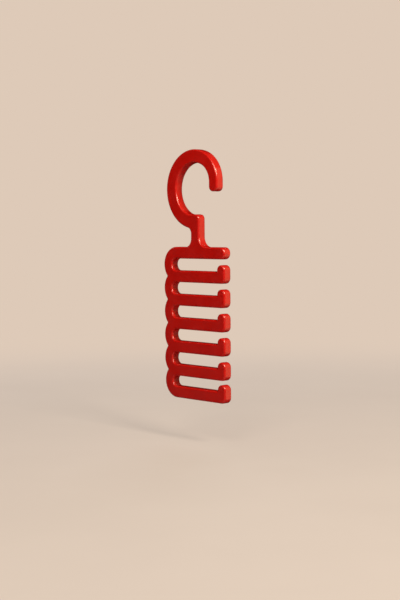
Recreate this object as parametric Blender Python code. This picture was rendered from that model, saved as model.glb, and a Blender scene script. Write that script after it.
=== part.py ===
"""Belt hanger: one flat plastic moulding with a rail hook, a neck and a ladder of belt arms.

Run it with blender --background --python part.py, or from Blender's text editor.
Metres, +Z up. The hanger stands in the XZ plane and its arms open towards +X.
The origin is the middle of the plate at the top of the hook's inside, where the rail bears.

The real hanger is a single moulding. It is modelled in named sections, each a closed solid
that ends in plain flat cuts, with one narrow gap between each section and the next.
"""

import math

import bmesh
import bpy
from mathutils import Vector

# Plate
PLATE_THICKNESS = 0.0100
EDGE_RADIUS = 0.0018
SECTION_GAP = 0.0003

# Hook: round at the back and tighter at the nose, with a band that narrows towards the tip
HOOK_INNER_RADIUS = 0.0273
HOOK_BAND_WIDTH = 0.0139
HOOK_BACK_OFFSET = 0.0010
HOOK_ROOT_ANGLE = math.radians(240.0)
NOSE_ANGLE = math.radians(66.0)
NOSE_RADIUS_SHARE = 0.736
TIP_WIDTH = 0.0123
TIP_LENGTH = 0.0098
TIP_ROUND_SHARE = 0.42

# Neck, whose right side ends in a square shoulder just above the bottom of the hook's inside
NECK_WIDTH = 0.0124
NECK_LENGTH = 0.0341
NECK_OFFSET = 0.0014
HOOK_FILLET_SHARE = 0.34
FOOT_LEFT_SHARE = 0.46
FOOT_RIGHT_SHARE = 0.56
SHOULDER_RISE = 0.0009
SHOULDER_CORNER_RADIUS = 0.0050
SHOULDER_BLEND_SHARE = 0.5

# Ladder of the top bar, the arms and the loops that join their left ends. The lowest slot is
# a little narrower than the others.
ARM_COUNT = 6
BAR_PITCH = 0.0250
LAST_BAR_PITCH = 0.0235
BAR_HEIGHT = 0.0124
LADDER_WIDTH = 0.0930
LADDER_OFFSET = 0.0009
END_ROUND_SHARE = 0.48

# Upturned lip at the free end of each arm, which closes part of the slot above the arm
LIP_WIDTH = 0.0113
LIP_RISE_SHARE = 0.54
LIP_ROUND_SHARE = 0.80
LIP_INNER_RADIUS = 0.0006

# Fineness: the furthest that a chord may stray from its arc, and the steps across a rounded rim
CURVE_TOLERANCE = 0.00005
EDGE_SEGMENTS = 2
SMOOTH_ANGLE = math.radians(40.0)

# Plastic
PLASTIC_COLOUR = (0.56, 0.010, 0.007, 1.0)
PLASTIC_ROUGHNESS = 0.38

# Angles of the outlines, counted from +X towards +Z
UP = math.pi / 2
LEFT = math.pi
DOWN = 3 * math.pi / 2
FULL_TURN = 2 * math.pi

# Hook, worked out
HOOK_INNER_CENTRE = Vector((0.0, -HOOK_INNER_RADIUS))
HOOK_OUTER_CENTRE = Vector((-HOOK_BACK_OFFSET, -HOOK_INNER_RADIUS))
HOOK_OUTER_RADIUS = HOOK_INNER_RADIUS + HOOK_BAND_WIDTH
NOSE_INNER_RADIUS = HOOK_INNER_RADIUS * NOSE_RADIUS_SHARE
TIP_INNER_X = HOOK_INNER_RADIUS * math.cos(NOSE_ANGLE) + NOSE_INNER_RADIUS * (1 - math.cos(NOSE_ANGLE))
TIP_OUTER_X = TIP_INNER_X + TIP_WIDTH
NOSE_OUTER_RADIUS = ((TIP_OUTER_X + HOOK_BACK_OFFSET - HOOK_OUTER_RADIUS * math.cos(NOSE_ANGLE))
                     / (1 - math.cos(NOSE_ANGLE)))

# Neck, worked out
SHOULDER_Z = SHOULDER_RISE - 2 * HOOK_INNER_RADIUS
SHOULDER_BLEND_RADIUS = HOOK_INNER_RADIUS * SHOULDER_BLEND_SHARE
NECK_LEFT_X = NECK_OFFSET - NECK_WIDTH / 2
NECK_RIGHT_X = NECK_OFFSET + NECK_WIDTH / 2
LADDER_TOP_Z = SHOULDER_Z - NECK_LENGTH

# Ladder, worked out
SLOT_HEIGHT = BAR_PITCH - BAR_HEIGHT
TOP_BAR_Z = LADDER_TOP_Z - BAR_HEIGHT / 2
BAR_RIGHT_X = LADDER_WIDTH / 2 - LADDER_OFFSET
BAR_LEFT_X = (BAR_PITCH + BAR_HEIGHT) / 2 - LADDER_WIDTH / 2 - LADDER_OFFSET
BAR_END_RADIUS = BAR_HEIGHT * END_ROUND_SHARE
LIP_RISE = SLOT_HEIGHT * LIP_RISE_SHARE
LIP_TOP_RADIUS = min(LIP_WIDTH * END_ROUND_SHARE, LIP_RISE * LIP_ROUND_SHARE)


def polar(centre, radius, angle):
    """Return the point of a circle at an angle."""
    return centre + radius * Vector((math.cos(angle), math.sin(angle)))


def arc(centre, radius, start_angle, end_angle):
    """Return points along an arc from one angle to another, both ends included."""
    turn = end_angle - start_angle
    widest_step = 2 * math.acos(1 - CURVE_TOLERANCE / radius)
    steps = math.ceil(abs(turn) / widest_step)
    return [polar(centre, radius, start_angle + turn * step / steps) for step in range(steps + 1)]


def joined(*stretches):
    """Join stretches of outline that each begin where the one before ends."""
    line = list(stretches[0])
    for stretch in stretches[1:]:
        line += stretch[1:]
    return line


def rounded_corner(before, corner, after, radius):
    """Return the arc that rounds a corner between two straight stretches."""
    to_before = (before - corner).normalized()
    to_after = (after - corner).normalized()
    half_angle = to_before.angle(to_after) / 2
    centre = corner + (to_before + to_after).normalized() * (radius / math.sin(half_angle))
    start = corner + to_before * (radius / math.tan(half_angle)) - centre
    end = corner + to_after * (radius / math.tan(half_angle)) - centre
    start_angle = math.atan2(start.y, start.x)
    turn = math.remainder(math.atan2(end.y, end.x) - start_angle, FULL_TURN)
    return arc(centre, radius, start_angle, start_angle + turn)


def rounded_line(start, *corners_and_end):
    """Return an open line from a start point through rounded corners to an end point.

    A corner is (x, z, radius), and the start and the end are (x, z).
    """
    places = [Vector(start)] + [Vector(place[:2]) for place in corners_and_end]
    line = [places[0]]
    for index in range(1, len(places) - 1):
        radius = corners_and_end[index - 1][2]
        line += rounded_corner(places[index - 1], places[index], places[index + 1], radius)
    return line + [places[-1]]


def without_repeats(line):
    """Return an outline with each point that falls on the one before it left out."""
    return line[:1] + [place for last, place in zip(line, line[1:])
                       if (place - last).length > CURVE_TOLERANCE]


def nose_centre(back_centre, back_radius, nose_radius):
    """Return the centre of a nose arc that carries a back arc on at the nose angle."""
    return polar(back_centre, back_radius - nose_radius, NOSE_ANGLE)


def neck_left_length():
    """Return the length of the neck's left side from the top bar up to the hook's outside."""
    side = NECK_LEFT_X - HOOK_OUTER_CENTRE.x
    hook_z = HOOK_OUTER_CENTRE.y - math.sqrt(HOOK_OUTER_RADIUS ** 2 - side ** 2)
    return hook_z - LADDER_TOP_Z


def hook_fillet():
    """Return the centre and radius of the fillet between the neck's left side and the hook,
    and the angle of the hook's outside at which it begins."""
    radius = neck_left_length() * HOOK_FILLET_SHARE
    reach = NECK_LEFT_X - radius - HOOK_OUTER_CENTRE.x
    drop = math.sqrt((HOOK_OUTER_RADIUS + radius) ** 2 - reach ** 2)
    centre = HOOK_OUTER_CENTRE + Vector((reach, -drop))
    return centre, radius, FULL_TURN + math.atan2(-drop, reach)


def neck_foot_z():
    """Return the height at which the neck is cut from its foot, at the top of both foot fillets."""
    return LADDER_TOP_Z + neck_left_length() * max(FOOT_LEFT_SHARE, FOOT_RIGHT_SHARE)


def arm_z(index):
    """Return the mid-height of an arm, where the first has the index 0."""
    lowered = TOP_BAR_Z - BAR_PITCH * (index + 1)
    return lowered + BAR_PITCH - LAST_BAR_PITCH if index == ARM_COUNT - 1 else lowered


def hook_runs():
    """Outline of the hook: its inside from the root to the tip, and its outside back again."""
    nose_inner = nose_centre(HOOK_INNER_CENTRE, HOOK_INNER_RADIUS, NOSE_INNER_RADIUS)
    nose_outer = nose_centre(HOOK_OUTER_CENTRE, HOOK_OUTER_RADIUS, NOSE_OUTER_RADIUS)
    tip_z = nose_inner.y - TIP_LENGTH
    tip_radius = TIP_WIDTH * TIP_ROUND_SHARE
    return [joined(
        arc(HOOK_INNER_CENTRE, HOOK_INNER_RADIUS, HOOK_ROOT_ANGLE, NOSE_ANGLE),
        arc(nose_inner, NOSE_INNER_RADIUS, NOSE_ANGLE, 0.0),
        rounded_line((TIP_INNER_X, nose_inner.y),
                     (TIP_INNER_X, tip_z, tip_radius),
                     (TIP_OUTER_X, tip_z, tip_radius),
                     (TIP_OUTER_X, nose_outer.y)),
        arc(nose_outer, NOSE_OUTER_RADIUS, 0.0, NOSE_ANGLE),
        arc(HOOK_OUTER_CENTRE, HOOK_OUTER_RADIUS, NOSE_ANGLE, HOOK_ROOT_ANGLE))]


def neck_runs():
    """Outline of the neck: its shoulder and right side, and its left side up to the hook."""
    fillet_centre, fillet_radius, fillet_angle = hook_fillet()
    foot_z = neck_foot_z() + SECTION_GAP
    blend_z = SHOULDER_Z + SHOULDER_BLEND_RADIUS
    blend_rise = blend_z - HOOK_INNER_CENTRE.y
    blend_x = -math.sqrt((HOOK_INNER_RADIUS - SHOULDER_BLEND_RADIUS) ** 2 - blend_rise ** 2)
    blend_angle = FULL_TURN + math.atan2(blend_rise, blend_x)
    inner_cut_angle = HOOK_ROOT_ANGLE + SECTION_GAP / HOOK_INNER_RADIUS
    outer_cut_angle = HOOK_ROOT_ANGLE + SECTION_GAP / HOOK_OUTER_RADIUS
    right = joined(
        arc(HOOK_INNER_CENTRE, HOOK_INNER_RADIUS, inner_cut_angle, blend_angle),
        arc(Vector((blend_x, blend_z)), SHOULDER_BLEND_RADIUS, blend_angle, DOWN),
        rounded_line((blend_x, SHOULDER_Z),
                     (NECK_RIGHT_X, SHOULDER_Z, SHOULDER_CORNER_RADIUS),
                     (NECK_RIGHT_X, foot_z)))
    left = joined(
        [Vector((NECK_LEFT_X, foot_z)), Vector((NECK_LEFT_X, fillet_centre.y))],
        arc(fillet_centre, fillet_radius, 0.0, fillet_angle - LEFT),
        arc(HOOK_OUTER_CENTRE, HOOK_OUTER_RADIUS, fillet_angle, outer_cut_angle))
    return [right, left]


def top_bar_runs():
    """Outline of the top bar about its own mid-height, with the neck's foot standing on it."""
    left_x = BAR_LEFT_X + SECTION_GAP
    low_z = -BAR_HEIGHT / 2
    high_z = BAR_HEIGHT / 2
    foot_z = neck_foot_z() - TOP_BAR_Z
    right = rounded_line((NECK_RIGHT_X, foot_z),
                         (NECK_RIGHT_X, high_z, neck_left_length() * FOOT_RIGHT_SHARE),
                         (BAR_RIGHT_X, high_z, BAR_END_RADIUS),
                         (BAR_RIGHT_X, low_z, BAR_END_RADIUS),
                         (left_x, low_z))
    left = rounded_line((left_x, high_z),
                        (NECK_LEFT_X, high_z, neck_left_length() * FOOT_LEFT_SHARE),
                        (NECK_LEFT_X, foot_z))
    return [without_repeats(right), without_repeats(left)]


def arm_runs():
    """Outline of an arm and its upturned lip, about the arm's own mid-height."""
    left_x = BAR_LEFT_X + SECTION_GAP
    lip_x = BAR_RIGHT_X - LIP_WIDTH
    low_z = -BAR_HEIGHT / 2
    high_z = BAR_HEIGHT / 2
    lip_z = high_z + LIP_RISE
    return [rounded_line((left_x, high_z),
                         (lip_x, high_z, LIP_INNER_RADIUS),
                         (lip_x, lip_z, LIP_TOP_RADIUS),
                         (BAR_RIGHT_X, lip_z, LIP_TOP_RADIUS),
                         (BAR_RIGHT_X, low_z, BAR_END_RADIUS),
                         (left_x, low_z))]


def loop_runs(pitch, is_first, is_last):
    """Outline of an end loop about its own centre, between two bars at a pitch.

    A loop ends at half a bar's height, where the next loop begins. The first and the last
    loop go on round to the straight edge of the bar that they turn into.
    """
    centre = Vector((0.0, 0.0))
    outer_radius = (pitch + BAR_HEIGHT) / 2
    inner_radius = (pitch - BAR_HEIGHT) / 2
    cut_z = (pitch - SECTION_GAP) / 2
    cut_angle = math.asin(cut_z / outer_radius)
    start_angle = UP if is_first else LEFT - cut_angle
    end_angle = DOWN if is_last else LEFT + cut_angle
    runs = [arc(centre, outer_radius, start_angle, end_angle)]
    if not is_last:
        runs.append([Vector((0.0, -cut_z))])
    runs.append(arc(centre, inner_radius, DOWN, UP))
    if not is_first:
        runs.append([Vector((0.0, cut_z))])
    return runs


def add_plate(bm, runs):
    """Build the plain plate of an outline and return the rim edges of its runs, front and back.

    The straight lines that join the runs are cuts, and their rims stay square.
    """
    depth = PLATE_THICKNESS / 2
    outline = [point for run in runs for point in run]
    front = [bm.verts.new((point.x, -depth, point.y)) for point in outline]
    back = [bm.verts.new((point.x, depth, point.y)) for point in outline]
    bm.faces.new(front)
    bm.faces.new(reversed(back))
    for index in range(len(outline)):
        bm.faces.new((front[index - 1], back[index - 1], back[index], front[index]))
    bmesh.ops.recalc_face_normals(bm, faces=bm.faces)
    rims = []
    first = 0
    for run in runs:
        for index in range(first, first + len(run) - 1):
            rims.append(bm.edges.get((front[index], front[index + 1])))
            rims.append(bm.edges.get((back[index], back[index + 1])))
        first += len(run)
    return rims


def section_mesh(name, runs):
    """Return the mesh of one section: the plate of its outline with rounded front and back rims."""
    bm = bmesh.new()
    rims = add_plate(bm, runs)
    bmesh.ops.bevel(bm, geom=rims, offset=EDGE_RADIUS, offset_type="OFFSET", affect="EDGES",
                    segments=EDGE_SEGMENTS, profile=0.5, clamp_overlap=False)
    mesh = bpy.data.meshes.new(name)
    bm.to_mesh(mesh)
    bm.free()
    mesh.shade_smooth()
    mesh.set_sharp_from_angle(angle=SMOOTH_ANGLE)
    return mesh


def plastic(name):
    """Return the hanger's red plastic as a material for one section."""
    material = bpy.data.materials.new(name + "_plastic")
    material.use_nodes = True
    shader = material.node_tree.nodes["Principled BSDF"]
    shader.inputs["Base Color"].default_value = PLASTIC_COLOUR
    shader.inputs["Roughness"].default_value = PLASTIC_ROUGHNESS
    shader.inputs["Metallic"].default_value = 0.0
    return material


def add_section(name, mesh, location, parent):
    """Place a mesh as a named section, with its own material in its own slot."""
    section = bpy.data.objects.new(name, mesh)
    bpy.context.scene.collection.objects.link(section)
    section.parent = parent
    section.location = location
    if not mesh.materials:
        mesh.materials.append(None)
    section.material_slots[0].link = "OBJECT"
    section.material_slots[0].material = plastic(name)
    return section


def clear_scene():
    """Remove the objects of the file that is open."""
    for item in list(bpy.data.objects):
        bpy.data.objects.remove(item, do_unlink=True)


def add_ladder(root):
    """Add the arms below the top bar, and the loops that join each bar to the next."""
    arm_mesh = section_mesh("arm", arm_runs())
    for index in range(ARM_COUNT):
        is_last = index == ARM_COUNT - 1
        pitch = LAST_BAR_PITCH if is_last else BAR_PITCH
        loop_name = f"end_loop_{index + 1}"
        loop_mesh = section_mesh(loop_name, loop_runs(pitch, index == 0, is_last))
        loop_z = arm_z(index) + pitch / 2
        add_section(f"arm_{index + 1}", arm_mesh, (0.0, 0.0, arm_z(index)), root)
        add_section(loop_name, loop_mesh, (BAR_LEFT_X, 0.0, loop_z), root)


def build_hanger():
    """Build every section under one empty at the rail's seat."""
    root = bpy.data.objects.new("belt_hanger", None)
    bpy.context.scene.collection.objects.link(root)
    add_section("hook", section_mesh("hook", hook_runs()), (0.0, 0.0, 0.0), root)
    add_section("neck", section_mesh("neck", neck_runs()), (0.0, 0.0, 0.0), root)
    add_section("top_bar", section_mesh("top_bar", top_bar_runs()), (0.0, 0.0, TOP_BAR_Z), root)
    add_ladder(root)


clear_scene()
build_hanger()
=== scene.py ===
"""Dressed scene of a belt hanger, one flat red plastic moulding that hangs by its hook.

The moulding is drawn in the sections that model.glb names. Neighbouring sections end on the
same cuts and share one shading across them, so that they read as one piece of plastic.
Metres, +Z up. The hanger stands in the XZ plane, and its front faces -Y.
"""

import logging
import math
from dataclasses import dataclass, field
from enum import Enum
from typing import Callable, Union

import bpy
from mathutils import Matrix, Vector


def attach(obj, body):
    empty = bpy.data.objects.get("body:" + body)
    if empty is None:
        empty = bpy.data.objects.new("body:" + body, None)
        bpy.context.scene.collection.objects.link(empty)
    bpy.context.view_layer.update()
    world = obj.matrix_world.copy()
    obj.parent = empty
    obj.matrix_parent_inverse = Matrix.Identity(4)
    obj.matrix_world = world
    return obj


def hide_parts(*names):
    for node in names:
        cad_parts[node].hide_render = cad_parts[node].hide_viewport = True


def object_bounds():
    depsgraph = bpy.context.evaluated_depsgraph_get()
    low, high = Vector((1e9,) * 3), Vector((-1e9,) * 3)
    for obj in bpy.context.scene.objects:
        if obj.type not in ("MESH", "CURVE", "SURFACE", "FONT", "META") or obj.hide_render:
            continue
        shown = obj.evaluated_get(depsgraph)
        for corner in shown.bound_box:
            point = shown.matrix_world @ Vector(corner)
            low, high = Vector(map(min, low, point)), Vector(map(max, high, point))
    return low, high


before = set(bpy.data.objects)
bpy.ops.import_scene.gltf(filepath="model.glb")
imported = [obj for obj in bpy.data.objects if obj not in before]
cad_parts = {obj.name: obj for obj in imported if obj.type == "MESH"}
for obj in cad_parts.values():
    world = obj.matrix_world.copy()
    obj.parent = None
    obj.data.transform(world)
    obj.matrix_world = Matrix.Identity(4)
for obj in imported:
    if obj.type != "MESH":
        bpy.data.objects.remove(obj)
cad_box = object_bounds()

log = logging.getLogger("belt_hanger")

Colour = tuple[float, float, float, float]
Triple = tuple[float, float, float]
Span = tuple[float, float]
Setting = Union[float, Colour, Triple, bpy.types.NodeSocket]

RIGHT = 0.0
UP = math.pi / 2
LEFT = math.pi
DOWN = 3 * math.pi / 2
FULL_TURN = 2 * math.pi


class Effect(Enum):
    """Shared surface effects, each a shader node group."""

    MOULDED_GRAIN = "moulded_grain"
    EDGE_WEAR = "edge_wear"
    RUB_MARKS = "rub_marks"
    SETTLED_DUST = "settled_dust"


class Mask(Enum):
    """Names of the vertex masks that a section's mesh carries."""

    RIM = "rim"
    RUB = "rub"


class Side(Enum):
    """Face of the plate, as the direction in which it looks along Y."""

    FRONT = -1.0
    BACK = 1.0


@dataclass(frozen=True)
class EdgePoint:
    """Point of an outline, with the direction that leads out of the plastic there."""

    place: Vector
    outward: Vector


RubAt = Callable[[EdgePoint], float]


def never_rubbed(point: EdgePoint) -> float:
    """Tell that nothing rubs a point."""
    return 0.0


def polar(centre: Vector, radius: float, angle: float) -> Vector:
    """Find the point of a circle at an angle, in radians from its first axis to its second."""
    return centre + radius * Vector((math.cos(angle), math.sin(angle)))


def direction(azimuth: float, elevation: float) -> Vector:
    """Point from the hanger to where it is seen or lit from, by angles in radians."""
    flat = math.cos(elevation)
    return Vector((math.sin(azimuth) * flat, -math.cos(azimuth) * flat, math.sin(elevation)))


def put(name: str, data: bpy.types.ID) -> bpy.types.Object:
    """Put an object into the scene.

    Args:
        name: Its name.
        data: Its mesh, light or camera.

    Returns:
        The object.
    """
    thing = bpy.data.objects.new(name, data)
    bpy.context.scene.collection.objects.link(thing)
    return thing


class Outline:
    """Outline of one section, drawn with the plastic on the left of the pen.

    It holds stretches of real edge. A straight cut through the plastic joins the end of each
    stretch to the start of the next. A corner is a point on such a cut, inside the plastic,
    where three sections meet.
    """

    chord_tolerance = 0.000006
    longest_step = 0.004
    widest_turn = math.radians(8.0)
    same_place = 0.0000005

    def __init__(self) -> None:
        """Start an outline with nothing drawn."""
        self.stretches: list[list[EdgePoint]] = [[]]
        self.corners: dict[int, Vector] = {}

    def add(self, point: EdgePoint) -> None:
        """Carry the stretch on to a point, unless the pen is there already.

        Args:
            point: The next point of the edge.
        """
        stretch = self.stretches[-1]
        if stretch and (stretch[-1].place - point.place).length < self.same_place:
            return
        stretch.append(point)

    def arc(self, centre: Vector, radius: float, start: float, end: float) -> None:
        """Draw an arc, rounding out where it turns left and in where it turns right.

        Args:
            centre: Centre of the arc.
            radius: Radius of the arc.
            start: Angle at which the arc starts.
            end: Angle at which it ends.
        """
        turn = end - start
        widest = min(2 * math.acos(1 - self.chord_tolerance / radius), self.widest_turn)
        steps = max(1, math.ceil(abs(turn) / widest))
        way = math.copysign(1.0, turn)
        for step in range(steps + 1):
            angle = start + turn * step / steps
            spoke = Vector((math.cos(angle), math.sin(angle)))
            self.add(EdgePoint(centre + radius * spoke, way * spoke))

    def line(self, start: Vector, end: Vector) -> None:
        """Draw a straight edge.

        Args:
            start: Place where the edge starts.
            end: Place where it ends.
        """
        run = end - start
        outward = Vector((run.y, -run.x)).normalized()
        steps = max(1, math.ceil(run.length / self.longest_step))
        for step in range(steps + 1):
            self.add(EdgePoint(start + run * (step / steps), outward))

    def rounded(self, *places: tuple[float, ...]) -> None:
        """Draw straight edges with rounded corners between them.

        Args:
            places: The start as (x, z), each corner as (x, z, radius), and the end as (x, z).
        """
        spots = [Vector(place[:2]) for place in places]
        here = spots[0]
        for before, corner, after, place in zip(spots, spots[1:], spots[2:], places[1:]):
            radius = place[2]
            to_before = (before - corner).normalized()
            to_after = (after - corner).normalized()
            half_angle = to_before.angle(to_after) / 2
            reach = radius / math.tan(half_angle)
            centre = corner + (to_before + to_after).normalized() * (radius / math.sin(half_angle))
            start = corner + to_before * reach - centre
            end = corner + to_after * reach - centre
            start_angle = math.atan2(start.y, start.x)
            turn = math.remainder(math.atan2(end.y, end.x) - start_angle, FULL_TURN)
            if (centre + start - here).length > self.same_place:
                self.line(here, centre + start)
            self.arc(centre, radius, start_angle, start_angle + turn)
            here = centre + end
        if (spots[-1] - here).length > self.same_place:
            self.line(here, spots[-1])

    def corner(self, place: Vector) -> None:
        """Set a corner, where three sections meet, on the cut after the stretch drawn last."""
        self.corners[len(self.stretches) - 1] = place

    def cut(self) -> None:
        """End the stretch, and cut straight across to the start of the next one."""
        self.stretches.append([])


@dataclass(frozen=True)
class ProfileStep:
    """One line round the plate, somewhere on its way from the front face to the back."""

    inset: float
    depth: float
    slope: float
    side: Side
    rim: float


@dataclass
class SectionMesh:
    """Mesh of one section while it is drawn, with its true normals and its wear masks."""

    places: list[Vector] = field(default_factory=list)
    faces: list[list[int]] = field(default_factory=list)
    normals: list[Vector] = field(default_factory=list)
    rims: list[float] = field(default_factory=list)
    rubs: list[float] = field(default_factory=list)

    def vertex(self, place: Vector, depth: float, rim: float = 0.0, rub: float = 0.0) -> int:
        """Add a vertex.

        Args:
            place: Where it is, as x and z.
            depth: How far behind the middle of the plate it is.
            rim: How much of a rim it is, from 0 to 1.
            rub: How strongly it is rubbed, from 0 to 1.

        Returns:
            Its index.
        """
        self.places.append(Vector((place.x, depth, place.y)))
        self.rims.append(rim)
        self.rubs.append(rub)
        return len(self.places) - 1

    def face(self, corners: list[int], shading: list[Vector]) -> None:
        """Add a face, by the index of each corner and its normal."""
        self.faces.append(corners)
        self.normals.extend(shading)

    def flat_face(self, corners: list[int]) -> None:
        """Add a face that is shaded flat.

        Args:
            corners: Index of each corner.
        """
        middle = self.places[corners[len(corners) // 2]]
        first, last = self.places[corners[0]], self.places[corners[-1]]
        normal = (middle - first).cross(last - first).normalized()
        self.face(corners, [normal] * len(corners))

    def build(self, name: str) -> bpy.types.Mesh:
        """Turn what is drawn into a mesh.

        Args:
            name: Name of the mesh.

        Returns:
            The mesh.
        """
        mesh = bpy.data.meshes.new(name)
        mesh.from_pydata(self.places, [], self.faces)
        mesh.shade_smooth()
        mesh.normals_split_custom_set(self.normals)
        for mask, values in ((Mask.RIM, self.rims), (Mask.RUB, self.rubs)):
            layer = mesh.attributes.new(mask.value, "FLOAT", "POINT")
            layer.data.foreach_set("value", values)
        return mesh


@dataclass
class Moulding:
    """Plate that every section is cut from, with rounded rims at the front and the back."""

    finish: bpy.types.Material
    thickness: float = 0.0100
    edge_radius: float = 0.0018
    rim_steps: int = 7
    margin: float = 0.0004
    least_wear: float = 0.15
    pieces: list[bpy.types.Object] = field(default_factory=list)

    def half_profile(self, side: Side) -> list[ProfileStep]:
        """Step from one face over its rim to the wall.

        Args:
            side: Face to start from.

        Returns:
            The steps, from the face to the wall.
        """
        half = self.thickness / 2
        steps = [ProfileStep(self.edge_radius + self.margin, half, 0.0, side, 0.0)]
        for step in range(self.rim_steps + 1):
            slope = UP * step / self.rim_steps
            inset = self.edge_radius * (1 - math.sin(slope))
            depth = half - self.edge_radius * (1 - math.cos(slope))
            worn = self.least_wear + (1 - self.least_wear) * math.sin(2 * slope)
            steps.append(ProfileStep(inset, depth, slope, side, worn))
        steps.append(ProfileStep(0.0, half - self.edge_radius - self.margin, UP, side, 0.0))
        return steps

    def profile(self) -> list[ProfileStep]:
        """Step from the front face over both rims to the back face."""
        return self.half_profile(Side.FRONT) + self.half_profile(Side.BACK)[::-1]

    def normals(self, point: EdgePoint, profile: list[ProfileStep]) -> list[Vector]:
        """Work out the true surface direction at each step of the profile.

        Args:
            point: Point of the outline.
            profile: Steps from the front face to the back.

        Returns:
            One direction for each step.
        """
        found = []
        for step in profile:
            out = point.outward * math.sin(step.slope)
            found.append(Vector((out.x, step.side.value * math.cos(step.slope), out.y)))
        return found

    def wall(self, section: SectionMesh, stretch: list[EdgePoint],
             rub_at: RubAt) -> list[list[int]]:
        """Draw the wall and both rims along a stretch of edge.

        Args:
            section: Mesh to draw in.
            stretch: Points of the edge.
            rub_at: How strongly a point of the edge is rubbed, from 0 to 1.

        Returns:
            For each point, the indices of its vertices from the front to the back.
        """
        profile = self.profile()
        columns: list[list[int]] = []
        before: list[Vector] = []
        for point in stretch:
            rub = rub_at(point)
            column = [section.vertex(point.place - point.outward * step.inset,
                                     step.side.value * step.depth, step.rim,
                                     rub * math.sin(step.slope)) for step in profile]
            shading = self.normals(point, profile)
            if columns:
                last = columns[-1]
                for row in range(len(profile) - 1):
                    section.face([last[row], last[row + 1], column[row + 1], column[row]],
                                 [before[row], before[row + 1], shading[row + 1], shading[row]])
            columns.append(column)
            before = shading
        return columns

    def close(self, section: SectionMesh, outline: Outline,
              walls: list[list[list[int]]]) -> None:
        """Draw the cuts between the walls, and the front and back faces.

        Args:
            section: Mesh to draw in.
            outline: Outline of the section.
            walls: Vertices of the wall along each stretch of the outline.
        """
        half = self.thickness / 2
        front: list[int] = []
        back: list[int] = []
        for index, columns in enumerate(walls):
            front += [column[0] for column in columns]
            back += [column[-1] for column in columns]
            ending = columns[-1]
            starting = walls[(index + 1) % len(walls)][0]
            if index in outline.corners:
                corner = outline.corners[index]
                middle = [section.vertex(corner, -half), section.vertex(corner, half)]
                front.append(middle[0])
                back.append(middle[1])
                section.flat_face(ending + middle[::-1])
                section.flat_face(middle + starting[::-1])
            else:
                section.flat_face(ending + starting[::-1])
        section.face(front, [Vector((0.0, Side.FRONT.value, 0.0))] * len(front))
        section.face(back[::-1], [Vector((0.0, Side.BACK.value, 0.0))] * len(back))

    def mesh(self, name: str, outline: Outline, rub_at: RubAt) -> bpy.types.Mesh:
        """Build the closed mesh of one section.

        Args:
            name: Name of the mesh.
            outline: Outline of the section.
            rub_at: How strongly a point of the outline is rubbed, from 0 to 1.

        Returns:
            The mesh.
        """
        section = SectionMesh()
        walls = [self.wall(section, stretch, rub_at) for stretch in outline.stretches]
        self.close(section, outline, walls)
        return section.build(name)

    def add(self, node: str, outline: Outline, rub_at: RubAt = never_rubbed) -> None:
        """Build one section, dress it and set it in the place of its node.

        Args:
            node: Name of the node that the section stands for.
            outline: Outline of the section.
            rub_at: How strongly a point of the outline is rubbed, from 0 to 1.
        """
        piece = put(f"{node}_moulding", self.mesh(node, outline, rub_at))
        piece.data.materials.append(self.finish)
        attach(piece, "root")
        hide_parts(node)
        self.pieces.append(piece)
        log.info("%s: %d faces", piece.name, len(piece.data.polygons))


@dataclass
class Hook:
    """Round hook, tighter at its nose, with a band that narrows towards a blunt tip."""

    inner_radius: float = 0.0273
    band_width: float = 0.0139
    back_offset: float = 0.0010
    root_angle: float = math.radians(240.0)
    nose_angle: float = math.radians(66.0)
    nose_radius_share: float = 0.736
    tip_width: float = 0.0123
    tip_length: float = 0.0098
    tip_round_share: float = 0.42
    seat_reach: float = math.radians(48.0)

    @property
    def outer_radius(self) -> float:
        """Radius of the outside."""
        return self.inner_radius + self.band_width

    @property
    def inner_centre(self) -> Vector:
        """Centre of the inside."""
        return Vector((0.0, -self.inner_radius))

    @property
    def outer_centre(self) -> Vector:
        """Centre of the outside."""
        return Vector((-self.back_offset, -self.inner_radius))

    def outline(self) -> Outline:
        """Draw the inside from the root to the tip, and the outside back to the root.

        Returns:
            The outline.
        """
        cosine = math.cos(self.nose_angle)
        inner_nose = self.inner_radius * self.nose_radius_share
        tip_inner_x = self.inner_radius * cosine + inner_nose * (1 - cosine)
        tip_outer_x = tip_inner_x + self.tip_width
        outer_nose = (tip_outer_x - self.outer_centre.x - self.outer_radius * cosine) / (1 - cosine)
        nose_in = polar(self.inner_centre, self.inner_radius - inner_nose, self.nose_angle)
        nose_out = polar(self.outer_centre, self.outer_radius - outer_nose, self.nose_angle)
        tip_z = nose_in.y - self.tip_length
        tip_radius = self.tip_width * self.tip_round_share
        pen = Outline()
        pen.arc(self.inner_centre, self.inner_radius, self.root_angle, self.nose_angle)
        pen.arc(nose_in, inner_nose, self.nose_angle, RIGHT)
        pen.rounded((tip_inner_x, nose_in.y), (tip_inner_x, tip_z, tip_radius),
                    (tip_outer_x, tip_z, tip_radius), (tip_outer_x, nose_out.y))
        pen.arc(nose_out, outer_nose, RIGHT, self.nose_angle)
        pen.arc(self.outer_centre, self.outer_radius, self.nose_angle, self.root_angle)
        return pen

    def seat_rub(self, point: EdgePoint) -> float:
        """Tell how strongly the seat, at the top of the inside, is rubbed at a point.

        Args:
            point: Point of the hook's outline.

        Returns:
            1 at the top of the inside, falling to 0 at the seat's reach to either side.
        """
        spoke = point.place - self.inner_centre
        if point.outward.dot(spoke) > 0:
            return 0.0
        away = abs(math.atan2(spoke.y, spoke.x) - UP)
        return max(0.0, math.cos(min(away / self.seat_reach, 1.0) * UP))

    def build(self, moulding: Moulding) -> None:
        """Build the hook and dress it."""
        moulding.add("hook", self.outline(), self.seat_rub)


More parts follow.
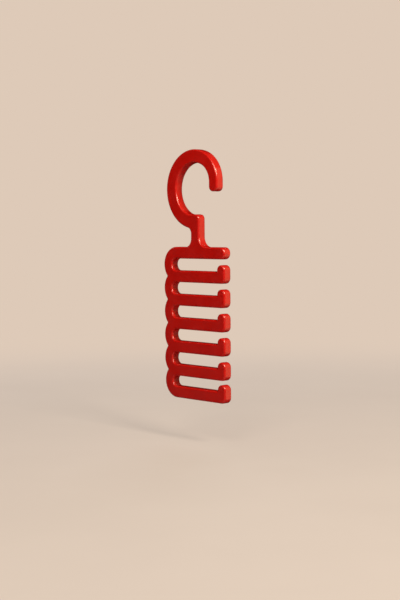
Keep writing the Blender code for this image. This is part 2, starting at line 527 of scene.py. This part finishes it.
@dataclass
class Neck:
    """Neck below the hook, with a square shoulder to the right of the hook's root."""

    hook: Hook
    width: float = 0.0124
    length: float = 0.0341
    offset: float = 0.0014
    hook_fillet_share: float = 0.34
    foot_left_share: float = 0.46
    foot_right_share: float = 0.56
    shoulder_rise: float = 0.0009
    shoulder_corner_radius: float = 0.0050
    shoulder_blend_share: float = 0.5

    @property
    def left_x(self) -> float:
        """Left side of the neck."""
        return self.offset - self.width / 2

    @property
    def right_x(self) -> float:
        """Right side of the neck."""
        return self.offset + self.width / 2

    @property
    def shoulder_z(self) -> float:
        """Height of the shoulder's top."""
        return self.shoulder_rise - 2 * self.hook.inner_radius

    @property
    def ladder_top_z(self) -> float:
        """Height of the ladder's top edge."""
        return self.shoulder_z - self.length

    @property
    def left_length(self) -> float:
        """Work out the length of the left side.

        Returns:
            The length, from the ladder's top edge to the hook's outside.
        """
        side = self.left_x - self.hook.outer_centre.x
        drop = math.sqrt(self.hook.outer_radius ** 2 - side ** 2)
        return self.hook.outer_centre.y - drop - self.ladder_top_z

    @property
    def foot_z(self) -> float:
        """Height of the cut between the neck and its foot."""
        return self.ladder_top_z + self.left_length * max(self.foot_left_share,
                                                          self.foot_right_share)

    def outline(self) -> Outline:
        """Draw the left side down from the hook, and the right side and shoulder back up.

        Returns:
            The outline.
        """
        hook = self.hook
        fillet = self.left_length * self.hook_fillet_share
        reach = self.left_x - fillet - hook.outer_centre.x
        drop = math.sqrt((hook.outer_radius + fillet) ** 2 - reach ** 2)
        fillet_centre = hook.outer_centre + Vector((reach, -drop))
        fillet_angle = FULL_TURN + math.atan2(-drop, reach)
        blend = hook.inner_radius * self.shoulder_blend_share
        blend_z = self.shoulder_z + blend
        blend_rise = blend_z - hook.inner_centre.y
        blend_x = -math.sqrt((hook.inner_radius - blend) ** 2 - blend_rise ** 2)
        blend_angle = FULL_TURN + math.atan2(blend_rise, blend_x)
        pen = Outline()
        pen.arc(hook.outer_centre, hook.outer_radius, hook.root_angle, fillet_angle)
        pen.arc(fillet_centre, fillet, fillet_angle - LEFT, RIGHT)
        pen.line(Vector((self.left_x, fillet_centre.y)), Vector((self.left_x, self.foot_z)))
        pen.cut()
        pen.rounded((self.right_x, self.foot_z),
                    (self.right_x, self.shoulder_z, self.shoulder_corner_radius),
                    (blend_x, self.shoulder_z))
        pen.arc(Vector((blend_x, blend_z)), blend, DOWN, blend_angle)
        pen.arc(hook.inner_centre, hook.inner_radius, blend_angle, hook.root_angle)
        return pen

    def build(self, moulding: Moulding) -> None:
        """Build the neck and dress it."""
        moulding.add("neck", self.outline())


@dataclass
class Ladder:
    """Ladder of the top bar, the arms with their lips and the loops that join them at the left."""

    neck: Neck
    arm_count: int = 6
    pitch: float = 0.0250
    last_pitch: float = 0.0235
    bar_height: float = 0.0124
    width: float = 0.0930
    offset: float = 0.0009
    end_round_share: float = 0.48
    lip_width: float = 0.0113
    lip_rise_share: float = 0.54
    lip_round_share: float = 0.80
    lip_inner_radius: float = 0.0006
    valley_radius: float = 0.0005
    rub_fade: float = 0.0120
    least_upward: float = 0.2

    @property
    def top_z(self) -> float:
        """Mid-height of the top bar."""
        return self.neck.ladder_top_z - self.bar_height / 2

    @property
    def left_x(self) -> float:
        """Where the bars turn into the loops."""
        return (self.pitch + self.bar_height) / 2 - self.width / 2 - self.offset

    @property
    def right_x(self) -> float:
        """Right end of the bars."""
        return self.width / 2 - self.offset

    @property
    def end_radius(self) -> float:
        """Radius of the corners at the bars' right ends."""
        return self.bar_height * self.end_round_share

    def pitch_above(self, index: int) -> float:
        """Distance from an arm, counted from 0, up to the bar above it."""
        return self.last_pitch if index == self.arm_count - 1 else self.pitch

    def arm_z(self, index: int) -> float:
        """Mid-height of an arm, counted from 0."""
        return self.top_z - sum(self.pitch_above(above) for above in range(index + 1))

    def top_bar_outline(self) -> Outline:
        """Draw the top bar with the neck's foot standing on it.

        Returns:
            The outline.
        """
        neck = self.neck
        low_z = self.top_z - self.bar_height / 2
        high_z = self.top_z + self.bar_height / 2
        pen = Outline()
        pen.rounded((neck.left_x, neck.foot_z),
                    (neck.left_x, high_z, neck.left_length * neck.foot_left_share),
                    (self.left_x, high_z))
        pen.cut()
        pen.rounded((self.left_x, low_z),
                    (self.right_x, low_z, self.end_radius),
                    (self.right_x, high_z, self.end_radius),
                    (neck.right_x, high_z, neck.left_length * neck.foot_right_share),
                    (neck.right_x, neck.foot_z))
        return pen

    def arm_outline(self, index: int) -> Outline:
        """Draw an arm with its upturned lip.

        Args:
            index: Place of the arm, counted from 0 at the top.

        Returns:
            The outline.
        """
        middle_z = self.arm_z(index)
        low_z = middle_z - self.bar_height / 2
        high_z = middle_z + self.bar_height / 2
        lip_x = self.right_x - self.lip_width
        rise = (self.pitch - self.bar_height) * self.lip_rise_share
        lip_radius = min(self.lip_width * self.end_round_share, rise * self.lip_round_share)
        pen = Outline()
        pen.rounded((self.left_x, low_z),
                    (self.right_x, low_z, self.end_radius),
                    (self.right_x, high_z + rise, lip_radius),
                    (lip_x, high_z + rise, lip_radius),
                    (lip_x, high_z, self.lip_inner_radius),
                    (self.left_x, high_z))
        if index < self.arm_count - 1:
            pen.corner(Vector((self.left_x, middle_z)))
        return pen

    def loop_centre(self, index: int) -> Vector:
        """Centre of the loop above an arm, counted from 0."""
        return Vector((self.left_x, self.arm_z(index) + self.pitch_above(index) / 2))

    def loop_radius(self, index: int) -> float:
        """Outer radius of the loop above an arm, counted from 0."""
        return (self.pitch_above(index) + self.bar_height) / 2

    def valley(self, index: int) -> Vector:
        """Find the centre of the small fillet between a loop and the next one below.

        Args:
            index: Place of the upper loop, counted from 0.

        Returns:
            The centre, which lies to the left of both loops.
        """
        upper, lower = self.loop_centre(index), self.loop_centre(index + 1)
        to_upper = self.loop_radius(index) + self.valley_radius
        to_lower = self.loop_radius(index + 1) + self.valley_radius
        apart = upper.y - lower.y
        below = (to_upper ** 2 - to_lower ** 2 + apart ** 2) / (2 * apart)
        return Vector((upper.x - math.sqrt(to_upper ** 2 - below ** 2), upper.y - below))

    def loop_outline(self, index: int) -> Outline:
        """Draw the loop that joins an arm to the bar above it.

        Args:
            index: Place of the loop, counted from 0 at the top.

        Returns:
            The outline.
        """
        centre = self.loop_centre(index)
        radius = self.loop_radius(index)
        middle_z = self.arm_z(index)
        start, end = UP, DOWN
        pen = Outline()
        if index > 0:
            valley = self.valley(index - 1)
            toward = centre - valley
            start = math.atan2(-toward.y, -toward.x) % FULL_TURN
            pen.arc(valley, self.valley_radius, RIGHT, math.atan2(toward.y, toward.x))
        if index < self.arm_count - 1:
            valley = self.valley(index)
            toward = centre - valley
            end = math.atan2(-toward.y, -toward.x) % FULL_TURN
            pen.arc(centre, radius, start, end)
            pen.arc(valley, self.valley_radius, math.atan2(toward.y, toward.x), RIGHT)
            pen.corner(Vector((self.left_x, middle_z)))
        else:
            pen.arc(centre, radius, start, end)
        pen.cut()
        pen.arc(centre, radius - self.bar_height, DOWN, UP)
        if index > 0:
            pen.corner(Vector((self.left_x, middle_z + self.pitch_above(index))))
        return pen

    def arm_rub(self, point: EdgePoint) -> float:
        """Tell how strongly an arm is rubbed at a point.

        Args:
            point: Point of an arm's outline.

        Returns:
            1 along the middle of the arm's top, fading towards the loop and the lip.
        """
        if point.outward.y < self.least_upward:
            return 0.0
        lip_x = self.right_x - self.lip_width
        inside = min(point.place.x - self.left_x, lip_x - point.place.x)
        return min(max(inside / self.rub_fade, 0.0), 1.0)

    def build(self, moulding: Moulding) -> None:
        """Build the top bar, the loops and the arms, and dress them.

        Args:
            moulding: Plate that they are cut from.
        """
        moulding.add("top_bar", self.top_bar_outline())
        for index in range(self.arm_count):
            moulding.add(f"end_loop_{index + 1}", self.loop_outline(index))
            moulding.add(f"arm_{index + 1}", self.arm_outline(index), self.arm_rub)


@dataclass(frozen=True)
class Texture:
    """Character of a noise: the number of its finer layers, and their strength."""

    layers: float
    strength: float


class NodeBench:
    """Adds nodes to one node tree and joins them."""

    column_width = 190.0
    row_height = 170.0
    rows = 4
    numbered = "in_"

    def __init__(self, tree: bpy.types.NodeTree) -> None:
        """Take the tree to work on, and empty it."""
        self.tree = tree
        tree.nodes.clear()

    def add(self, kind: str, settings: dict[str, object] | None = None,
            **inputs: Setting) -> bpy.types.Node:
        """Add a node.

        Args:
            kind: Type of the node.
            settings: The node's own options.
            inputs: A value or a socket for each input, by the socket's name in lower case with
                underscores, or by "in_" and its number.

        Returns:
            The node.
        """
        node = self.tree.nodes.new(kind)
        count = len(self.tree.nodes)
        node.location = (count // self.rows * self.column_width,
                         -(count % self.rows) * self.row_height)
        for name, value in (settings or {}).items():
            setattr(node, name, value)
        for name, value in inputs.items():
            self.feed(self.socket(node, name), value)
        return node

    def socket(self, node: bpy.types.Node, name: str) -> bpy.types.NodeSocket:
        """Find an input of a node.

        Args:
            node: The node.
            name: The input's name in lower case with underscores, or "in_" and its number.

        Returns:
            The first enabled input of that name.
        """
        if name.startswith(self.numbered):
            return node.inputs[int(name.removeprefix(self.numbered))]
        for socket in node.inputs:
            if socket.enabled and socket.name.lower().replace(" ", "_") == name:
                return socket
        raise KeyError(f"{node.bl_idname} has no input {name}")

    def feed(self, socket: bpy.types.NodeSocket, value: Setting) -> None:
        """Set an input to a value, or link a socket to it.

        Args:
            socket: The input.
            value: The value or the socket.
        """
        if isinstance(value, bpy.types.NodeSocket):
            self.tree.links.new(value, socket)
        else:
            socket.default_value = value

    def output(self, kind: str, settings: dict[str, object] | None = None,
               **inputs: Setting) -> bpy.types.NodeSocket:
        """Add a node, and find its first enabled output."""
        node = self.add(kind, settings, **inputs)
        return next(socket for socket in node.outputs if socket.enabled)

    def math(self, operation: str, *values: Setting, clamp: bool = False) -> bpy.types.NodeSocket:
        """Work out a value from others, kept from 0 to 1 where it is clamped."""
        inputs = {f"{self.numbered}{place}": value for place, value in enumerate(values)}
        return self.output("ShaderNodeMath", {"operation": operation, "use_clamp": clamp}, **inputs)

    def spread(self, value: bpy.types.NodeSocket, span: Span, low: float = 0.0,
               high: float = 1.0) -> bpy.types.NodeSocket:
        """Map a value smoothly from its own span to the one from low to high."""
        return self.output("ShaderNodeMapRange", {"interpolation_type": "SMOOTHSTEP"}, value=value,
                           from_min=span[0], from_max=span[1], to_min=low, to_max=high)

    def blend(self, amount: Setting, first: Setting, second: Setting) -> bpy.types.NodeSocket:
        """Mix two colours, where the amount is how much there is of the second."""
        return self.output("ShaderNodeMix", {"data_type": "RGBA"}, factor=amount, a=first, b=second)

    def here(self) -> bpy.types.NodeSocket:
        """Read the place on the object, in metres."""
        return self.add("ShaderNodeTexCoord").outputs["Object"]

    def mask(self, mask: Mask) -> bpy.types.NodeSocket:
        """Read a vertex mask of the mesh."""
        return self.add("ShaderNodeAttribute", {"attribute_name": mask.value}).outputs["Fac"]

    def noise(self, vector: bpy.types.NodeSocket, scale: Setting,
              texture: Texture) -> bpy.types.NodeSocket:
        """Read a noise from 0 to 1 at a place, where the scale is its waves in a metre."""
        return self.output("ShaderNodeTexNoise", vector=vector, scale=scale,
                           detail=texture.layers, roughness=texture.strength)

    def bump(self, height: bpy.types.NodeSocket, depth: float) -> bpy.types.NodeSocket:
        """Turn a height into a normal, where the depth is what a height of 1 is in metres."""
        return self.output("ShaderNodeBump", strength=1.0, distance=depth, height=height)

    def seen(self) -> bpy.types.NodeSocket:
        """Tell whether a surface is looked at.

        Returns:
            1 for what the camera sees, plainly, mirrored or through something clear, and 0 for
            what gives light.
        """
        path = self.add("ShaderNodeLightPath")
        mirrored = self.math("MAXIMUM", path.outputs["Is Glossy Ray"],
                             path.outputs["Is Transmission Ray"])
        return self.math("MAXIMUM", path.outputs["Is Camera Ray"], mirrored)


class SurfaceEffects:
    """Shader node groups that the finishes share, each built once."""

    grain = Texture(layers=2.0, strength=0.6)
    ripple = Texture(layers=1.0, strength=0.4)
    mottle = Texture(layers=3.0, strength=0.55)
    mottle_scale_share = 0.45
    mottle_span = (0.3, 0.7)
    patches = Texture(layers=4.0, strength=0.65)
    patch_span = (0.3, 0.75)
    wear_contrast = 2.5
    scratches = Texture(layers=3.0, strength=0.7)
    scratch_squeeze = (1.0, 0.05, 1.0)
    scratch_span = (0.52, 0.68)
    specks = Texture(layers=3.0, strength=0.7)
    speck_span = (0.42, 0.8)
    upward_span = (0.55, 1.0)

    def __init__(self) -> None:
        """Build the groups."""
        self.groups: dict[Effect, bpy.types.ShaderNodeTree] = {
            Effect.MOULDED_GRAIN: self.moulded_grain(),
            Effect.EDGE_WEAR: self.edge_wear(),
            Effect.RUB_MARKS: self.rub_marks(),
            Effect.SETTLED_DUST: self.settled_dust(),
        }

    def start(self, effect: Effect, inputs: dict[str, float],
              outputs: list[str]) -> tuple[NodeBench, bpy.types.Node]:
        """Start a group with named sockets.

        Args:
            effect: The effect that the group gives.
            inputs: Name and usual value of each input.
            outputs: Name of each output.

        Returns:
            The bench for the group's tree, and its input node.
        """
        tree = bpy.data.node_groups.new(effect.value, "ShaderNodeTree")
        for name, value in inputs.items():
            socket = tree.interface.new_socket(name, in_out="INPUT", socket_type="NodeSocketFloat")
            socket.default_value = value
        for name in outputs:
            tree.interface.new_socket(name, in_out="OUTPUT", socket_type="NodeSocketFloat")
        bench = NodeBench(tree)
        return bench, bench.add("NodeGroupInput")

    def moulded_grain(self) -> bpy.types.ShaderNodeTree:
        """Build fine moulded grain, slow ripples and a slow mottle of the colour.

        Returns:
            The group.
        """
        bench, given = self.start(
            Effect.MOULDED_GRAIN, {"Grains per Metre": 3000.0, "Ripples per Metre": 90.0},
            ["Grain", "Ripple", "Mottle"])
        where = bench.here()
        grains, ripples = given.outputs["Grains per Metre"], given.outputs["Ripples per Metre"]
        slow = bench.math("MULTIPLY", ripples, self.mottle_scale_share)
        mottle = bench.noise(where, slow, self.mottle)
        bench.add("NodeGroupOutput", grain=bench.noise(where, grains, self.grain),
                  ripple=bench.noise(where, ripples, self.ripple),
                  mottle=bench.spread(mottle, self.mottle_span))
        return bench.tree

    def edge_wear(self) -> bpy.types.ShaderNodeTree:
        """Build wear along the rims, broken into patches.

        Returns:
            The group.
        """
        bench, given = self.start(
            Effect.EDGE_WEAR, {"Rim": 0.0, "Patches per Metre": 160.0, "Reach": 0.5}, ["Wear"])
        patches = bench.noise(bench.here(), given.outputs["Patches per Metre"], self.patches)
        threshold = bench.math("SUBTRACT", 1.0, given.outputs["Reach"])
        patchy = bench.spread(patches, self.patch_span)
        ready = bench.math("MULTIPLY", given.outputs["Rim"], patchy)
        above = bench.math("SUBTRACT", ready, threshold)
        wear = bench.math("MULTIPLY", above, self.wear_contrast, clamp=True)
        bench.add("NodeGroupOutput", wear=wear)
        return bench.tree

    def rub_marks(self) -> bpy.types.ShaderNodeTree:
        """Build fine lines across the plate, where something slides over its edge.

        Returns:
            The group.
        """
        bench, given = self.start(
            Effect.RUB_MARKS, {"Rub": 0.0, "Lines per Metre": 2200.0}, ["Marks"])
        drawn = bench.output("ShaderNodeVectorMath", {"operation": "MULTIPLY"}, in_0=bench.here(),
                             in_1=self.scratch_squeeze)
        lines = bench.noise(drawn, given.outputs["Lines per Metre"], self.scratches)
        sharp = bench.spread(lines, self.scratch_span)
        bench.add("NodeGroupOutput", marks=bench.math("MULTIPLY", sharp, given.outputs["Rub"]))
        return bench.tree

    def settled_dust(self) -> bpy.types.ShaderNodeTree:
        """Build thin dust on what faces up.

        Returns:
            The group.
        """
        bench, given = self.start(
            Effect.SETTLED_DUST, {"Specks per Metre": 1400.0, "Amount": 0.5}, ["Dust"])
        facing = bench.add("ShaderNodeSeparateXYZ",
                           in_0=bench.add("ShaderNodeNewGeometry").outputs["Normal"])
        upward = bench.spread(facing.outputs["Z"], self.upward_span)
        specks = bench.noise(bench.here(), given.outputs["Specks per Metre"], self.specks)
        lying = bench.math("MULTIPLY", upward, bench.spread(specks, self.speck_span))
        bench.add("NodeGroupOutput", dust=bench.math("MULTIPLY", lying, given.outputs["Amount"]))
        return bench.tree

    def place(self, bench: NodeBench, effect: Effect, **inputs: Setting) -> bpy.types.Node:
        """Place an effect in the material on the bench, with the material's own values."""
        return bench.add("ShaderNodeGroup", {"node_tree": self.groups[effect]}, **inputs)


def start_material(name: str) -> tuple[bpy.types.Material, NodeBench]:
    """Start an empty material.

    Args:
        name: Name of the material.

    Returns:
        The material, and the bench for its tree.
    """
    material = bpy.data.materials.new(name)
    material.use_nodes = True
    return material, NodeBench(material.node_tree)


@dataclass(frozen=True)
class MouldedPlastic:
    """Red plastic with a glossy skin, a fine moulded grain, worn rims and rub marks."""

    name: str = "red_moulded_plastic"
    colour: Colour = (0.58, 0.0050, 0.0018, 1.0)
    deep_colour: Colour = (0.53, 0.0040, 0.0014, 1.0)
    worn_colour: Colour = (0.62, 0.022, 0.015, 1.0)
    dust_colour: Colour = (0.55, 0.32, 0.28, 1.0)
    dust: float = 0.05
    roughness: float = 0.34
    ripple_roughness: float = 0.05
    ripple_span: Span = (0.3, 0.7)
    worn_roughness: float = 0.10
    marked_roughness: float = 0.12
    dust_roughness: float = 0.25
    grain_depth: float = 0.000006
    ripple_share: float = 5.0
    mark_share: float = 0.8
    specular: float = 0.5
    skin: float = 0.95
    worn_skin: float = 0.2
    marked_skin: float = 0.3
    skin_roughness: float = 0.18

    def material(self, effects: SurfaceEffects) -> bpy.types.Material:
        """Make the material.

        Args:
            effects: The shared effects.

        Returns:
            The material.
        """
        material, bench = start_material(self.name)
        grain = effects.place(bench, Effect.MOULDED_GRAIN).outputs
        wear = effects.place(bench, Effect.EDGE_WEAR, rim=bench.mask(Mask.RIM)).outputs["Wear"]
        marks = effects.place(bench, Effect.RUB_MARKS, rub=bench.mask(Mask.RUB)).outputs["Marks"]
        dust = effects.place(bench, Effect.SETTLED_DUST, amount=self.dust).outputs["Dust"]

        shade = bench.blend(grain["Mottle"], self.deep_colour, self.colour)
        shade = bench.blend(wear, shade, self.worn_colour)
        shade = bench.blend(dust, shade, self.dust_colour)

        rough = bench.spread(grain["Ripple"], self.ripple_span,
                             self.roughness - self.ripple_roughness,
                             self.roughness + self.ripple_roughness)
        rough = bench.math("MULTIPLY_ADD", wear, self.worn_roughness, rough)
        rough = bench.math("MULTIPLY_ADD", marks, self.marked_roughness, rough)
        rough = bench.math("MULTIPLY_ADD", dust, self.dust_roughness, rough)

        height = bench.math("MULTIPLY_ADD", grain["Ripple"], self.ripple_share, grain["Grain"])
        height = bench.math("MULTIPLY_ADD", marks, -self.mark_share, height)
        bump = bench.bump(height, self.grain_depth)

        skin = bench.math("MULTIPLY_ADD", wear, -self.worn_skin, self.skin)
        skin = bench.math("MULTIPLY_ADD", marks, -self.marked_skin, skin, clamp=True)
        shader = bench.output("ShaderNodeBsdfPrincipled", base_color=shade, roughness=rough,
                              normal=bump, specular_ior_level=self.specular, coat_weight=skin,
                              coat_roughness=self.skin_roughness)
        bench.add("ShaderNodeOutputMaterial", surface=shader)
        return material


@dataclass(frozen=True)
class StudioPaper:
    """Pale matt paper of the studio floor, which runs out into the backdrop's colour."""

    name: str = "studio_paper"
    colour: Colour = (0.55, 0.52, 0.52, 1.0)
    deep_colour: Colour = (0.52, 0.49, 0.49, 1.0)
    grains_per_metre: float = 900.0
    ripples_per_metre: float = 12.0
    tooth_depth: float = 0.00004
    roughness: float = 0.85
    specular: float = 0.1
    near_glow: float = 0.60
    far_glow: float = 1.0
    fade_span: Span = (0.25, 1.3)

    def material(self, effects: SurfaceEffects, far_colour: Colour) -> bpy.types.Material:
        """Make the material.

        Args:
            effects: The shared effects.
            far_colour: Colour of the backdrop, which the far floor takes on.

        Returns:
            The material.
        """
        material, bench = start_material(self.name)
        grain = effects.place(bench, Effect.MOULDED_GRAIN, grains_per_metre=self.grains_per_metre,
                              ripples_per_metre=self.ripples_per_metre).outputs
        shade = bench.blend(grain["Mottle"], self.deep_colour, self.colour)
        bump = bench.bump(grain["Grain"], self.tooth_depth)
        paper = bench.output("ShaderNodeBsdfPrincipled", base_color=shade, normal=bump,
                             roughness=self.roughness, specular_ior_level=self.specular)
        far = bench.output("ShaderNodeEmission", color=far_colour, strength=1.0)
        away = bench.output("ShaderNodeVectorMath", {"operation": "LENGTH"}, in_0=bench.here())
        distance = bench.spread(away, self.fade_span)
        glow = bench.spread(distance, (0.0, 1.0), self.near_glow, self.far_glow)
        fade = bench.math("MULTIPLY", glow, bench.seen())
        mixed = bench.output("ShaderNodeMixShader", in_0=fade, in_1=paper, in_2=far)
        bench.add("ShaderNodeOutputMaterial", surface=mixed)
        return material


@dataclass(frozen=True)
class DarkCloth:
    """Matt black cloth without any sheen."""

    name: str = "dark_cloth"
    colour: Colour = (0.0, 0.0, 0.0, 1.0)
    roughness: float = 0.9
    specular: float = 0.0

    def material(self) -> bpy.types.Material:
        """Make the material.

        Returns:
            The material.
        """
        material, bench = start_material(self.name)
        shader = bench.output("ShaderNodeBsdfPrincipled", base_color=self.colour,
                              roughness=self.roughness, specular_ior_level=self.specular)
        bench.add("ShaderNodeOutputMaterial", surface=shader)
        return material


WHITE: Triple = (1.0, 1.0, 1.0)
WARM: Triple = (1.0, 0.84, 0.64)


@dataclass(frozen=True)
class Lamp:
    """Soft lamp that looks at the middle of the hanger from outside the picture.

    A lamp that isn't mirrored gives light and no highlight. One that gives no light is a pale
    card, which only shows in the plastic's gloss.
    """

    name: str
    azimuth: float
    elevation: float
    distance: float
    width: float
    height: float
    level: float
    colour: Triple = WHITE
    mirrored: bool = True
    gives_light: bool = True

    def build(self, target: Vector) -> None:
        """Hang the lamp.

        Args:
            target: Where it looks.
        """
        back = direction(math.radians(self.azimuth), math.radians(self.elevation))
        data = bpy.data.lights.new(self.name, "AREA")
        data.shape = "RECTANGLE"
        data.size, data.size_y = self.width, self.height
        data.color = self.colour
        data.energy = self.level * (math.pi * self.distance) ** 2
        lamp = put(self.name, data)
        lamp.location = target + back * self.distance
        lamp.rotation_euler = back.to_track_quat("Z", "Y").to_euler()
        lamp.visible_glossy = self.mirrored
        lamp.visible_camera = False
        lamp.visible_diffuse = self.gives_light
        log.info("%s: level %.2f", self.name, self.level)


@dataclass(frozen=True)
class Studio:
    """Plain pale floor and backdrop, soft lamps, and a dark drape that only the gloss shows."""

    target: Vector = Vector((0.0, 0.0, -0.120))
    floor_drop: float = 0.045
    floor_radius: float = 8.0
    floor_sides: int = 96
    backdrop_colour: Colour = (0.73, 0.59, 0.48, 1.0)
    air_colour: Colour = (1.0, 0.95, 0.90, 1.0)
    air_level: float = 0.06
    lamps: tuple[Lamp, ...] = (
        Lamp("key_lamp", azimuth=80.0, elevation=37.0, distance=1.4, width=0.35, height=0.50,
             level=1.02, colour=WARM),
        Lamp("rim_lamp", azimuth=32.0, elevation=42.0, distance=1.15, width=0.34, height=0.40,
             level=0.37, colour=WARM),
        Lamp("top_lamp", azimuth=-20.0, elevation=58.0, distance=0.37, width=0.20, height=0.20,
             level=0.10, colour=WARM, mirrored=False),
        Lamp("high_panel", azimuth=172.0, elevation=42.0, distance=1.5, width=1.20, height=0.90,
             level=0.02, colour=(1.0, 0.75, 0.42)),
        Lamp("pale_card", azimuth=124.0, elevation=0.0, distance=0.14, width=0.068, height=0.40,
             level=0.29, colour=(1.0, 0.80, 0.45), gives_light=False),
        Lamp("side_lamp", azimuth=140.0, elevation=24.0, distance=1.5, width=0.80, height=1.20,
             level=0.05, colour=(1.0, 0.80, 0.42), mirrored=False),
        Lamp("left_lamp", azimuth=-95.0, elevation=25.0, distance=1.4, width=0.80, height=0.80,
             level=0.22, mirrored=False),
        Lamp("back_lamp", azimuth=215.0, elevation=30.0, distance=1.8, width=0.80, height=0.80,
             level=0.34, mirrored=False),
    )
    drape_radius: float = 2.2
    drape_top_z: float = 1.6
    drape_lift: float = 0.004
    drape_sides: int = 32

    def ring(self, radius: float, sides: int, z: float) -> list[Vector]:
        """Lay a point for each side evenly round the upright axis, at one height."""
        spots = (polar(Vector((0.0, 0.0)), radius, FULL_TURN * side / sides)
                 for side in range(sides))
        return [Vector((spot.x, spot.y, z)) for spot in spots]

    def surface(self, name: str, places: list[Vector], faces: list[list[int]],
                finish: bpy.types.Material) -> bpy.types.Object:
        """Build a plain surface of the studio.

        Args:
            name: Its name.
            places: Its vertices.
            faces: Indices of each face's corners.
            finish: Its material.

        Returns:
            The surface.
        """
        mesh = bpy.data.meshes.new(name)
        mesh.from_pydata(places, [], faces)
        mesh.materials.append(finish)
        return put(name, mesh)

    def floor(self, effects: SurfaceEffects, floor_z: float) -> None:
        """Lay the floor.

        Args:
            effects: The shared effects.
            floor_z: Its height.
        """
        finish = StudioPaper().material(effects, self.backdrop_colour)
        places = self.ring(self.floor_radius, self.floor_sides, 0.0)
        floor = self.surface("studio_floor", places, [list(range(self.floor_sides))], finish)
        floor.location.z = floor_z

    def drape(self, floor_z: float) -> None:
        """Hang a dark drape all round that only the gloss shows, so that the red stays deep.

        Args:
            floor_z: Height of the floor.
        """
        sides = self.drape_sides
        places = [place for z in (floor_z + self.drape_lift, self.drape_top_z)
                  for place in self.ring(self.drape_radius, sides, z)]
        low_edge = list(range(sides))
        high_edge = list(range(sides, 2 * sides))
        walls = [[low_edge[side - 1], low_edge[side], high_edge[side], high_edge[side - 1]]
                 for side in range(sides)]
        drape = self.surface("dark_drape", places, [low_edge, high_edge] + walls,
                             DarkCloth().material())
        drape.visible_camera = False
        drape.visible_diffuse = False
        drape.visible_transmission = False
        drape.visible_shadow = False

    def air(self) -> None:
        """Light the room evenly, and show the backdrop's colour where it is seen or mirrored."""
        world = bpy.data.worlds.new("studio_air")
        world.use_nodes = True
        bench = NodeBench(world.node_tree)
        light = bench.output("ShaderNodeBackground", color=self.air_colour, strength=self.air_level)
        backdrop = bench.output("ShaderNodeBackground", color=self.backdrop_colour, strength=1.0)
        mixed = bench.output("ShaderNodeMixShader", in_0=bench.seen(), in_1=light, in_2=backdrop)
        bench.add("ShaderNodeOutputWorld", surface=mixed)
        bpy.context.scene.world = world

    def build(self, effects: SurfaceEffects, low_z: float) -> None:
        """Build the floor, the drape, the air and the lamps.

        Args:
            effects: The shared effects.
            low_z: Lowest point of the hanger.
        """
        floor_z = low_z - self.floor_drop
        self.floor(effects, floor_z)
        self.drape(floor_z)
        self.air()
        for lamp in self.lamps:
            lamp.build(self.target)


@dataclass(frozen=True)
class PhotoCamera:
    """Camera at the photograph's viewing angle, for a frame of 400 by 600."""

    target: Vector = Vector((0.003887, 0.0, -0.143262))
    distance: float = 1.298511
    azimuth: float = math.radians(47.16)
    elevation: float = math.radians(3.5034)
    roll: float = math.radians(-0.444)
    lens: float = 74.38
    sensor_height: float = 36.0

    def build(self) -> None:
        """Set the camera up and make it the scene's own."""
        back = direction(self.azimuth, self.elevation)
        level = Vector((math.cos(self.azimuth), math.sin(self.azimuth), 0.0))
        upward = back.cross(level)
        right = level * math.cos(self.roll) + upward * math.sin(self.roll)
        above = upward * math.cos(self.roll) - level * math.sin(self.roll)
        data = bpy.data.cameras.new("photo_camera")
        data.lens = self.lens
        data.sensor_fit = "VERTICAL"
        data.sensor_height = self.sensor_height
        camera = put("photo_camera", data)
        turn = Matrix((right, above, back)).transposed().to_4x4()
        camera.matrix_world = Matrix.Translation(self.target + back * self.distance) @ turn
        bpy.context.scene.camera = camera
        log.info("photo_camera: %.2f m away", self.distance)


def main() -> None:
    """Build the camera, the hanger and the studio."""
    logging.basicConfig(level=logging.INFO, format="%(name)s: %(message)s")
    bpy.context.scene.view_settings.view_transform = "Standard"
    PhotoCamera().build()
    effects = SurfaceEffects()
    moulding = Moulding(MouldedPlastic().material(effects))
    hook = Hook()
    neck = Neck(hook)
    for part in (hook, neck, Ladder(neck)):
        part.build(moulding)
    log.info("hanger: %d sections", len(moulding.pieces))
    Studio().build(effects, cad_box[0].z)


if __name__ == "__main__":
    main()
